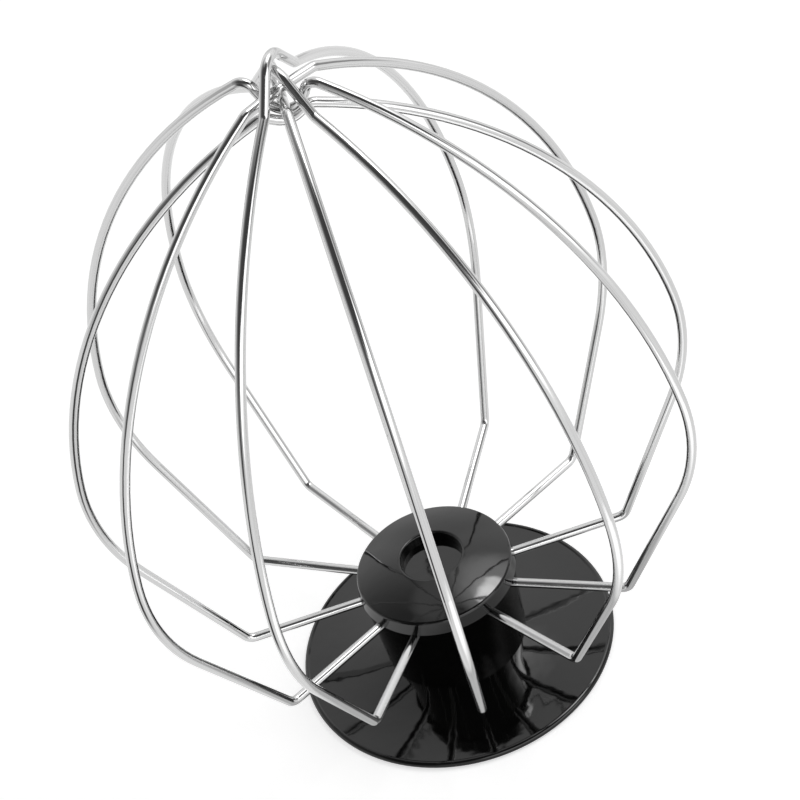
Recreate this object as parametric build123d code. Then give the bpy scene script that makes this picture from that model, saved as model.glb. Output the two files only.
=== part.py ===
# Whisk for a stand mixer: six bent wires clamped between a splash-disc hub and its cap.
# Millimetres. +Z runs from the drive end to the wire tip. The origin is the middle of the flat
# foot, so the whisk stands on its splash disc. Azimuth zero points along -Y.

from math import asin, copysign, cos, degrees, hypot, pi, radians, sin, sqrt, tan
import os

from build123d import *

# Wires, lowest crossing first, each bent for its own place in the tip stack
wire_azimuths = (90.0, 60.0, 0.0, 120.0, 30.0, 150.0)
spoke_rises = (0.0, 2.5, 9.5, 0.0, 7.0, 9.5)        # degrees, spoke climbs outward
leg_leans = (27.4, 27.5, 28.4, 28.3, 29.4, 27.2)    # degrees, straight run leans out from upright
crown_shares = (0.96, 1.09, 0.96, 1.05, 0.91, 1.0)  # of the crown radius
kink_shares = (0.64, 0.94, 1.0, 1.0, 1.05, 1.0)     # of the kink radius

# Sizes that all wires share
wire_diameter = 1.8
exit_height = 19.7          # spoke where it leaves the edge of the cap
corner_radius = 38.5        # axis to the sharp corner of a leg
leg_length = 29.6           # corner to the start of the belly
corner_bend = 2.2           # centre-line radius
belly_radius = 39.5
belly_turn = 36.3           # degrees
crown_radius = 84.0
kink_radius = 7.8           # axis to the start of the kink
kink_bend = 2.0
crossing_bend = 4.0
stack_sink = 4.7            # lowest crossing below the mean height of the kinks
crossing_gap = 0.2          # air between the four lower wires on the axis
bridge_gap = 1.8            # air below the fifth wire
top_gap = 0.7               # air below the sixth wire
spoke_end_radius = 8.4      # axis to the inner end of a wire

# Splash disc
disc_radius = 31.6
rim_thickness = 1.5
rim_width = 1.05            # bead width at its inner edge
face_rim_drop = 0.25        # face below the top of the rim bead
face_rise = 1.75            # face climbs from rim to neck
face_hollow = 0.29          # how far the face sags below a straight cone
disc_wall = 1.0
foot_width = 2.5            # flat ring of the rim that stands on the table

# Neck
neck_foot_radius = 14.3
neck_top_radius = 15.2

# Cap
cap_radius = 15.7
cap_edge_radius = 15.3
skirt_height = 2.9
dome_rise = 2.5
cap_edge_round = 0.7
recess_radius = 6.1
recess_draft = 0.2
recess_depth = 2.3
recess_round = 0.5
spigot_depth = 1.5
spigot_wall = 1.2

# Drive socket
drive_diameter = 12.0       # machine shaft
drive_depth = 15.5
pin_diameter = 3.0          # cross pin of the shaft
pin_length = 18.0
lock_turn = 40.0            # degrees from entry slot to lock
socket_wall = 2.0

# Clearances, on the radius
wire_clearance = 0.05
spigot_clearance = 0.05
drive_clearance = 0.1
pin_clearance = 0.2

# Sizes that follow
wire_radius = wire_diameter / 2
seat_radius = wire_radius + wire_clearance
crossing_gaps = (0, crossing_gap, crossing_gap, crossing_gap, bridge_gap, top_gap)
parting_height = exit_height + seat_radius
spigot_radius = spoke_end_radius - spigot_wall
spigot_bottom = parting_height - spigot_depth
rim_round = rim_thickness / 2
foot_outer = disc_radius - rim_round
face_outer = disc_radius - rim_width
socket_radius = pin_length / 2 + pin_clearance


def spoke_end_height(level):
    """Height of a spoke's centre line at the inner end of its wire."""
    return exit_height - (cap_radius - spoke_end_radius) * tan(radians(spoke_rises[level]))


class Track:
    """A planar path of straight runs and tangent arcs; x is the radius, y the height."""

    def __init__(self, start, heading):
        self.at = Vector(*start)
        self.heading = heading
        self.edges = []

    def run(self, length):
        end = self.at + Vector(cos(self.heading), sin(self.heading)) * length
        self.edges.append(Line(self.at, end))
        self.at = end

    def turn(self, radius, angle):
        side = copysign(radius, angle)
        centre = self.at + Vector(-sin(self.heading), cos(self.heading)) * side
        spoke = self.at - centre
        middle = centre + spoke.rotate(Axis.Z, degrees(angle) / 2)
        end = centre + spoke.rotate(Axis.Z, degrees(angle))
        self.edges.append(ThreePointArc(self.at, middle, end))
        self.at = end
        self.heading += angle


def crossing_reach(radius, heading, slope):
    """Straight length and total climb from the kink to the axis for one tip slope."""
    end = pi - slope
    side = copysign(kink_bend, end - heading)
    after_kink = radius + side * (sin(end) - sin(heading))
    length = (after_kink - crossing_bend * sin(abs(slope))) / cos(slope)
    climb = side * (cos(heading) - cos(end)) + length * sin(slope)
    return length, climb + copysign(crossing_bend * (1 - cos(slope)), slope)


def crossing_slope(radius, heading, climb):
    """Slope of the tip run that meets the axis at the wanted climb above the kink."""
    low = radians(-70)
    high = radians(70)
    for _ in range(60):
        middle = (low + high) / 2
        if crossing_reach(radius, heading, middle)[1] < climb:
            low = middle
        else:
            high = middle
    return (low + high) / 2


def leg_track(level):
    """One leg of a wire, from its inner end up to the kink."""
    rise = radians(spoke_rises[level])
    corner_turn = radians(90 - leg_leans[level]) - rise
    corner_tangent = corner_bend * tan(corner_turn / 2)
    crown = crown_radius * crown_shares[level]
    track = Track((spoke_end_radius, spoke_end_height(level)), rise)
    track.run((corner_radius - spoke_end_radius) / cos(rise) - corner_tangent)
    track.turn(corner_bend, corner_turn)
    track.run(leg_length - corner_tangent)
    track.turn(belly_radius, radians(belly_turn))
    crown_centre = track.at.X - crown * sin(track.heading)
    crown_end = pi - asin((kink_radius * kink_shares[level] - crown_centre) / crown)
    track.turn(crown, crown_end - track.heading)
    return track


def crossing_height(level):
    """Height of a wire's centre line on the axis."""
    kinks = [leg_track(each).at.Y for each in range(len(wire_azimuths))]
    lowest = sum(kinks) / len(kinks) - stack_sink
    return lowest + level * wire_diameter + sum(crossing_gaps[:level + 1])


def wire_solid(level):
    """One wire: two legs and the crossing that joins them, at its level in the tip stack."""
    track = leg_track(level)
    top = crossing_height(level)
    slope = crossing_slope(track.at.X, track.heading, top - track.at.Y)
    length = crossing_reach(track.at.X, track.heading, slope)[0]
    track.turn(kink_bend, pi - slope - track.heading)
    track.run(length)
    track.edges.append(ThreePointArc(track.at, (0, top), (-track.at.X, track.at.Y)))
    half = [(Plane.XZ * edge).edge() for edge in track.edges]
    other = [mirror(edge, about=Plane.YZ).edge() for edge in half[:-1]]
    path = Wire(half + other)
    section = Plane(origin=path @ 0, z_dir=path % 0) * Circle(wire_radius)
    return sweep(section, path=path)


def seat_cutter(level, azimuth):
    """Groove for one spoke: round at the bottom and open at the parting face."""
    rise = spoke_rises[level]
    depth = parting_height - spoke_end_height(level) + wire_diameter
    length = (cap_radius + wire_diameter - spoke_end_radius) / cos(radians(rise))
    start = Pos(spoke_end_radius, 0, spoke_end_height(level)) * Rot(0, 90 - rise, 0)
    groove = start * Cylinder(seat_radius, length, align=(Align.CENTER, Align.CENTER, Align.MIN))
    throat = start * Box(depth, 2 * seat_radius, length, align=(Align.MAX, Align.CENTER, Align.MIN))
    return Rot(0, 0, azimuth - 90) * (groove + throat)


def disc_face(radius):
    """Height of the disc's upper face at a distance from the axis."""
    share = (face_outer - radius) / (face_outer - neck_foot_radius)
    straight = rim_thickness - face_rim_drop + face_rise * share
    return straight - 4 * face_hollow * share * (1 - share)


def face_arc(start, end, drop):
    """Arc of the disc's face between two radii, lowered by a wall thickness."""
    middle = (start + end) / 2
    return ThreePointArc(*[(radius, disc_face(radius) - drop) for radius in (start, middle, end)])


def turned(outline):
    """Solid of revolution from a closed outline of radius and height."""
    return revolve(Plane.XZ * make_face(outline), Axis.Z)


def ring_edge(solid, radius, height):
    """The circular edge nearest to a radius and height."""
    rings = solid.edges().filter_by(GeomType.CIRCLE)
    return rings.sort_by(lambda edge: abs(edge.radius - radius) + abs(edge.center().Z - height))[0]


def underside_cutter():
    """Hollow between the foot ring and the socket wall, leaving an even wall under the face."""
    outer = foot_outer - foot_width
    inner = socket_radius + socket_wall
    return turned([
        Line((inner, 0), (outer, 0)),
        Line((outer, 0), (outer, disc_face(outer) - disc_wall)),
        face_arc(outer, inner, disc_wall),
        Line((inner, disc_face(inner) - disc_wall), (inner, 0)),
    ])


def socket_cutter():
    """Bore for the machine shaft, with entry slots and turned locks for its cross pin."""
    low = (Align.CENTER, Align.CENTER, Align.MIN)
    slot_width = pin_diameter + 2 * pin_clearance
    lock_bottom = drive_depth - slot_width
    cutter = Cylinder(drive_diameter / 2 + drive_clearance, drive_depth, align=low)
    cutter += Box(2 * socket_radius, slot_width, drive_depth, align=low)
    lock = Pos(0, 0, lock_bottom) * Box(2 * socket_radius, slot_width, slot_width, align=low)
    cutter += Rot(0, 0, lock_turn) * lock
    turn_face = Pos(0, 0, lock_bottom) * Plane.XZ * Rectangle(socket_radius, slot_width, align=Align.MIN)
    for side in (0, 180):
        cutter += revolve(Rot(0, 0, side) * turn_face, Axis.Z, lock_turn)
    reach = Cylinder(socket_radius, drive_depth, align=low)
    return cutter & reach


def hub_body():
    """Splash disc and neck in one moulding, with the drive socket below and wire seats above."""
    outline = [
        Line((0, 0), (foot_outer, 0)),
        ThreePointArc((foot_outer, 0), (disc_radius, rim_round), (foot_outer, rim_thickness)),
        Line((foot_outer, rim_thickness), (face_outer, disc_face(face_outer))),
        face_arc(face_outer, neck_foot_radius, 0),
        Line((neck_foot_radius, disc_face(neck_foot_radius)), (neck_top_radius, parting_height)),
        Line((neck_top_radius, parting_height), (0, parting_height)),
        Line((0, parting_height), (0, 0)),
    ]
    body = turned(outline)
    body -= underside_cutter()
    body -= socket_cutter()
    for level, azimuth in enumerate(wire_azimuths):
        body -= seat_cutter(level, azimuth)
        body -= seat_cutter(level, azimuth + 180)
    body -= Pos(0, 0, spigot_bottom) * Cylinder(
        spigot_radius + spigot_clearance, parting_height, align=(Align.CENTER, Align.CENTER, Align.MIN)
    )
    return body


def hub_cap():
    """Domed cap with a round recess on top and a spigot that plugs into the hub."""
    skirt_top = parting_height + skirt_height
    dome_top = skirt_top + dome_rise
    recess_bottom = dome_top - recess_depth
    span = cap_edge_radius ** 2 - recess_radius ** 2
    centre = (span + skirt_top ** 2 - dome_top ** 2) / (2 * (skirt_top - dome_top))
    dome_radius = hypot(cap_edge_radius, skirt_top - centre)
    middle = (cap_edge_radius + recess_radius) / 2
    outline = [
        Line((0, spigot_bottom), (spigot_radius, spigot_bottom)),
        Line((spigot_radius, spigot_bottom), (spigot_radius, parting_height)),
        Line((spigot_radius, parting_height), (cap_radius, parting_height)),
        Line((cap_radius, parting_height), (cap_edge_radius, skirt_top)),
        ThreePointArc(
            (cap_edge_radius, skirt_top),
            (middle, centre + sqrt(dome_radius ** 2 - middle ** 2)),
            (recess_radius, dome_top),
        ),
        Line((recess_radius, dome_top), (recess_radius - recess_draft, recess_bottom)),
        Line((recess_radius - recess_draft, recess_bottom), (0, recess_bottom)),
        Line((0, recess_bottom), (0, spigot_bottom)),
    ]
    cap = turned(outline)
    cap = fillet(ring_edge(cap, cap_edge_radius, skirt_top), cap_edge_round)
    return fillet(ring_edge(cap, recess_radius, dome_top), recess_round)


os.makedirs("parts", exist_ok=True)
export_step(hub_body(), "parts/hub_body.step")
export_step(hub_cap(), "parts/hub_cap.step")
for level, azimuth in enumerate(wire_azimuths):
    export_step(Rot(0, 0, azimuth - 90) * wire_solid(level), f"parts/wire_{level + 1}.step")
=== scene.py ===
from math import cos, radians, sin

import bpy
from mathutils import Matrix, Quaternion, Vector

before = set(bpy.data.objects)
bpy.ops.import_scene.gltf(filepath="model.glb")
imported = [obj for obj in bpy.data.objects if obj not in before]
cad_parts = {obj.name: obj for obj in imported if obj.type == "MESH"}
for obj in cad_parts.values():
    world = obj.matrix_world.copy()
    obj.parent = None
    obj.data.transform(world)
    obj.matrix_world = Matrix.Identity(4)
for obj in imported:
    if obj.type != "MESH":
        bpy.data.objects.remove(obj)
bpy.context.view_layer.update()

MM = 0.001

# Camera; its lens and sensor are in millimetres
CAMERA_EYE = Vector((-1.98, -298.5, 332.2)) * MM
CAMERA_AIM = Vector((3.41, -0.06, 66.6)) * MM
CAMERA_ROLL = radians(-17.58)
CAMERA_LENS = 99.4
SENSOR_WIDTH = 36.0
NEAREST_SIGHT = 10 * MM

# Gloss black plastic with faint moulding waves and wiped places
PLASTIC_GREY = 0.003
PLASTIC_ROUGHNESS = (0.03, 0.08)
PLASTIC_IOR = 1.5
WAVE_SCALE = 320.0
WAVE_DEPTH = 0.03 * MM
WIPE_SCALE = 420.0

# Drawn and polished steel with fine lines along the wire
STEEL_GREY = (0.49, 0.7)
STEEL_ROUGHNESS = (0.04, 0.2)
LINE_SCALE = 9.0
LINE_CONTRAST = (0.3, 0.7)
LINE_DEPTH = 0.006 * MM

# Floor as the camera sees it; its glow rises with the distance from the whisk
FLOOR_SIZE = 6.0
FLOOR_WHITE = 0.9
FLOOR_GLOW = (0.58, 0.7)
GLOW_REACH = (0.3, 1.5)

# Floor as shiny surfaces mirror it: a glow with painted shade and painted light in patches, in
# place of the lit floor
MIRRORED_FLOOR = 1.06
PAINTED_FLOOR_PATCHES = (  # x, y, full and zero radius in millimetres, brightness
    (0, 0, 34, 48, 0.65),       # painted shade round the disc
    (40, -125, 40, 75, 1.8),    # painted light on the floor in front
    (6, -14, 36, 46, 0.62),     # painted shade in front of the disc
    (34, 17, 5, 13, 0.35),      # painted shade on the right of the disc
)

# Painted shade: a dark wedge in the floor as shiny surfaces mirror it, below the dark screen on
# the left
WEDGE_AZIMUTH = -130
WEDGE_HALF_ANGLES = (5, 17)     # full and zero, in degrees
WEDGE_START = (85, 125)         # zero and full distance in millimetres
PAINTED_WEDGE_SHADE = 0.06

# Studio as shiny surfaces mirror it; later patches lie over earlier ones
WALL_LIGHT = 1.2
STUDIO_PATCHES = (  # azimuth, elevation, full and zero radius in degrees, brightness
    (0, -60, 66, 82, 0.8),      # foot of the back wall
    (-120, 50, 12, 76, 0.25),   # dim left side
    (-130, 50, 15, 34, 0.08),   # dark screen on the left
    (-130, 8, 6, 20, 0.07),     # foot of that screen
    (160, 58, 20, 34, 0.07),    # dark screen in front, on the right
    (95, 22, 14, 26, 0.4),      # dim right side
    (8, 16, 10, 24, 0.95),      # middle of the back wall
    (-150, 86, 5, 12, 0.3),     # dark spot overhead
    (-15, 76, 8, 16, 0.95),     # ceiling beside it
    (60, 60, 8, 24, 3.0),       # wide glow of the long lamp
    (67, 63, 3, 12, 6.0),       # glow close to the long lamp
    (67.5, 69.5, 1, 5, 10.0),   # upper end of the long lamp
    (60, 59.5, 1.5, 6, 11.0),   # lower end of the long lamp
    (64.5, 66, 1.5, 6, 14.0),   # middle of the long lamp
    (128, 22, 11, 18, 2.2),     # row of three windows in front
    (150, 22, 13, 19, 2.2),
    (175, 22, 11, 18, 2.2),
)

# Light on surfaces that don't mirror, in metres and watts
FILL_LIGHT = 0.35
KEY_EYE = Vector((0.9, 0.3, 1.2))
KEY_AIM = Vector((0, 0, 0.06))
KEY_SIZE = 0.8
KEY_POWER = 6.0


class Graph:
    """A node tree with short ways to add nodes and link them."""

    def __init__(self, tree):
        self.tree = tree
        self.tree.nodes.clear()

    def add(self, kind, settings=None, **inputs):
        node = self.tree.nodes.new(kind)
        for name, value in (settings or {}).items():
            setattr(node, name, value)
        for name, value in inputs.items():
            self.put(node, name.replace("_", " "), value)
        return node

    def put(self, node, key, value):
        socket = node.inputs[key]
        if isinstance(value, bpy.types.NodeSocket):
            self.tree.links.new(value, socket)
        else:
            socket.default_value = value

    def vector(self, operation, first, second=None):
        """Vector maths; a dot product or a distance gives a plain value."""
        node = self.add("ShaderNodeVectorMath", {"operation": operation})
        self.put(node, 0, first)
        if second is not None:
            self.put(node, 1, second)
        return node.outputs["Value" if operation in ("DOT_PRODUCT", "DISTANCE") else "Vector"]


def grey(value):
    return (value, value, value, 1.0)


def new_material(name):
    material = bpy.data.materials.new(name)
    material.use_nodes = True
    return material, Graph(material.node_tree)


def toward(azimuth, elevation):
    """Unit vector; azimuth zero is +Y, behind the whisk, and ninety is +X."""
    a = radians(azimuth)
    e = radians(elevation)
    return Vector((sin(a) * cos(e), cos(a) * cos(e), sin(e)))


def blend(graph, share, first, second):
    """A value between two others."""
    node = graph.add("ShaderNodeMix", Factor=share)
    graph.put(node, 2, first)
    graph.put(node, 3, second)
    return node.outputs[0]


def spread(graph, value, ends, start=(0.0, 1.0)):
    """A value carried evenly from one range to another."""
    node = graph.add(
        "ShaderNodeMapRange",
        Value=value,
        From_Min=start[0],
        From_Max=start[1],
        To_Min=ends[0],
        To_Max=ends[1],
    )
    return node.outputs[0]


def soft_share(graph, value, zero, full):
    """Share that rises softly from none at one value to all at another."""
    node = graph.add(
        "ShaderNodeMapRange",
        {"interpolation_type": "SMOOTHSTEP"},
        Value=value,
        From_Min=zero,
        From_Max=full,
    )
    return node.outputs[0]


def cone_share(graph, direction, axis, inner, outer):
    """Share of a soft-edged cone round an axis, with its half angles in degrees."""
    near = graph.vector("DOT_PRODUCT", direction, axis)
    return soft_share(graph, near, cos(radians(outer)), cos(radians(inner)))


def black_plastic():
    material, graph = new_material("black_plastic")
    place = graph.add("ShaderNodeTexCoord").outputs["Object"]
    sink = graph.add("ShaderNodeTexNoise", Vector=place, Scale=WAVE_SCALE, Detail=1.0)
    waves = graph.add(
        "ShaderNodeBump", Strength=1.0, Distance=WAVE_DEPTH, Height=sink.outputs[0],
    )
    wipe = graph.add("ShaderNodeTexNoise", Vector=place, Scale=WIPE_SCALE, Detail=4.0)
    shader = graph.add(
        "ShaderNodeBsdfPrincipled",
        Base_Color=grey(PLASTIC_GREY),
        Roughness=spread(graph, wipe.outputs[0], PLASTIC_ROUGHNESS),
        IOR=PLASTIC_IOR,
        Normal=waves.outputs[0],
    )
    graph.add("ShaderNodeOutputMaterial", Surface=shader.outputs[0])
    return material


def draw_lines(graph):
    """Noise stretched along the wires, which all lie in upright planes through the axis."""
    geometry = graph.add("ShaderNodeNewGeometry")
    position = geometry.outputs["Position"]
    flat = graph.vector("MULTIPLY", position, (1.0, 1.0, 0.0))
    outward = graph.vector("NORMALIZE", flat)
    across = graph.vector("CROSS_PRODUCT", outward, (0.0, 0.0, 1.0))
    side = graph.vector("DOT_PRODUCT", geometry.outputs["Normal"], across)
    height = graph.add("ShaderNodeSeparateXYZ", Vector=position).outputs["Z"]
    place = graph.add("ShaderNodeCombineXYZ", X=side, Y=height)
    noise = graph.add(
        "ShaderNodeTexNoise",
        Vector=place.outputs[0],
        Scale=LINE_SCALE,
        Detail=5.0,
        Roughness=0.7,
    )
    return noise.outputs[0]


def steel_wire():
    material, graph = new_material("steel_wire")
    lines = draw_lines(graph)
    scores = graph.add("ShaderNodeBump", Strength=1.0, Distance=LINE_DEPTH, Height=lines)
    shader = graph.add(
        "ShaderNodeBsdfPrincipled",
        Base_Color=spread(graph, lines, STEEL_GREY, LINE_CONTRAST),
        Metallic=1.0,
        Roughness=spread(graph, lines, STEEL_ROUGHNESS),
        Normal=scores.outputs[0],
    )
    graph.add("ShaderNodeOutputMaterial", Surface=shader.outputs[0])
    return material


def floor_reach(graph, x, y):
    """Distance on the floor from a point given in millimetres."""
    position = graph.add("ShaderNodeNewGeometry").outputs["Position"]
    return graph.vector("DISTANCE", position, Vector((x, y, 0)) * MM)


def painted_wedge_share(graph):
    """Share of the painted dark wedge in the floor's reflection, which starts some way from the
    whisk and runs outward.
    """
    start, full = WEDGE_START
    heading = graph.vector("NORMALIZE", graph.add("ShaderNodeNewGeometry").outputs["Position"])
    share = graph.add("ShaderNodeMath", {"operation": "MULTIPLY"})
    graph.put(share, 0, cone_share(graph, heading, toward(WEDGE_AZIMUTH, 0), *WEDGE_HALF_ANGLES))
    graph.put(share, 1, soft_share(graph, floor_reach(graph, 0, 0), start * MM, full * MM))
    return share.outputs[0]


def painted_floor_reflection(graph):
    """Brightness of the floor round the whisk as shiny surfaces mirror it: a painted reflection
    with painted shade and painted light in patches and a painted dark wedge.
    """
    level = MIRRORED_FLOOR
    for x, y, inner, outer, light in PAINTED_FLOOR_PATCHES:
        share = soft_share(graph, floor_reach(graph, x, y), outer * MM, inner * MM)
        level = blend(graph, share, level, light)
    return blend(graph, painted_wedge_share(graph), level, PAINTED_WEDGE_SHADE)


def floor_white():
    """White paint that keeps the shadow, with a glow that only the camera and mirrors see;
    mirrors see no paint, only the glow with its painted shade and painted light.
    """
    material, graph = new_material("floor_white")
    path = graph.add("ShaderNodeLightPath")
    mirror = path.outputs["Is Glossy Ray"]
    # Shiny surfaces see this paint as black, so its real shadow doesn't show in them
    paint = graph.add("ShaderNodeBsdfDiffuse", Color=blend(graph, mirror, FLOOR_WHITE, 0.0))
    seen = spread(graph, floor_reach(graph, 0, 0), FLOOR_GLOW, GLOW_REACH)
    # Mirrors see the painted floor reflection, with painted shade and painted light, in place of
    # the paint
    painted_mirror_glow = blend(graph, mirror, 0.0, painted_floor_reflection(graph))
    level = blend(graph, path.outputs["Is Camera Ray"], painted_mirror_glow, seen)
    glow = graph.add("ShaderNodeEmission", Color=grey(1.0), Strength=level)
    both = graph.add("ShaderNodeAddShader")
    graph.put(both, 0, paint.outputs[0])
    graph.put(both, 1, glow.outputs[0])
    graph.add("ShaderNodeOutputMaterial", Surface=both.outputs[0])
    return material


def add_floor():
    half = FLOOR_SIZE / 2
    corners = [(-half, -half, 0), (half, -half, 0), (half, half, 0), (-half, half, 0)]
    mesh = bpy.data.meshes.new("floor")
    mesh.from_pydata(corners, [], [(0, 1, 2, 3)])
    mesh.materials.append(floor_white())
    floor = bpy.data.objects.new("floor", mesh)
    bpy.context.scene.collection.objects.link(floor)


def studio_light(graph):
    """Brightness of the studio round the whisk, as shiny surfaces mirror it."""
    direction = graph.add("ShaderNodeTexCoord").outputs["Generated"]
    level = WALL_LIGHT
    for azimuth, elevation, inner, outer, light in STUDIO_PATCHES:
        share = cone_share(graph, direction, toward(azimuth, elevation), inner, outer)
        level = blend(graph, share, level, light)
    return level


def add_world():
    world = bpy.data.worlds.new("studio")
    world.use_nodes = True
    bpy.context.scene.world = world
    graph = Graph(world.node_tree)
    path = graph.add("ShaderNodeLightPath")
    behind = blend(graph, path.outputs["Is Camera Ray"], FILL_LIGHT, 1.0)
    level = blend(graph, path.outputs["Is Glossy Ray"], behind, studio_light(graph))
    sky = graph.add("ShaderNodeBackground", Color=grey(1.0), Strength=level)
    graph.add("ShaderNodeOutputWorld", Surface=sky.outputs[0])


def place_facing(name, data, eye, aim, roll=0.0):
    """A new object at one point that looks at another."""
    item = bpy.data.objects.new(name, data)
    level = (aim - eye).to_track_quat("-Z", "Y")
    item.location = eye
    item.rotation_mode = "QUATERNION"
    item.rotation_quaternion = level @ Quaternion((0, 0, 1), roll)
    bpy.context.scene.collection.objects.link(item)
    return item


def add_key_lamp():
    data = bpy.data.lights.new("key", "AREA")
    data.shape = "DISK"
    data.size = KEY_SIZE
    data.energy = KEY_POWER
    lamp = place_facing("key", data, KEY_EYE, KEY_AIM)
    lamp.visible_glossy = False


def add_camera():
    data = bpy.data.cameras.new("camera")
    data.lens = CAMERA_LENS
    data.sensor_width = SENSOR_WIDTH
    data.clip_start = NEAREST_SIGHT
    camera = place_facing("camera", data, CAMERA_EYE, CAMERA_AIM, CAMERA_ROLL)
    bpy.context.scene.camera = camera


def dress(nodes):
    looks = {"black_plastic": black_plastic(), "steel_wire": steel_wire()}
    for name, piece in nodes.items():
        finish = "steel_wire" if name.startswith("wire") else "black_plastic"
        piece.data.materials.clear()
        piece.data.materials.append(looks[finish])


dress(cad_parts)
add_floor()
add_world()
add_key_lamp()
add_camera()
bpy.context.scene.view_settings.view_transform = "Standard"
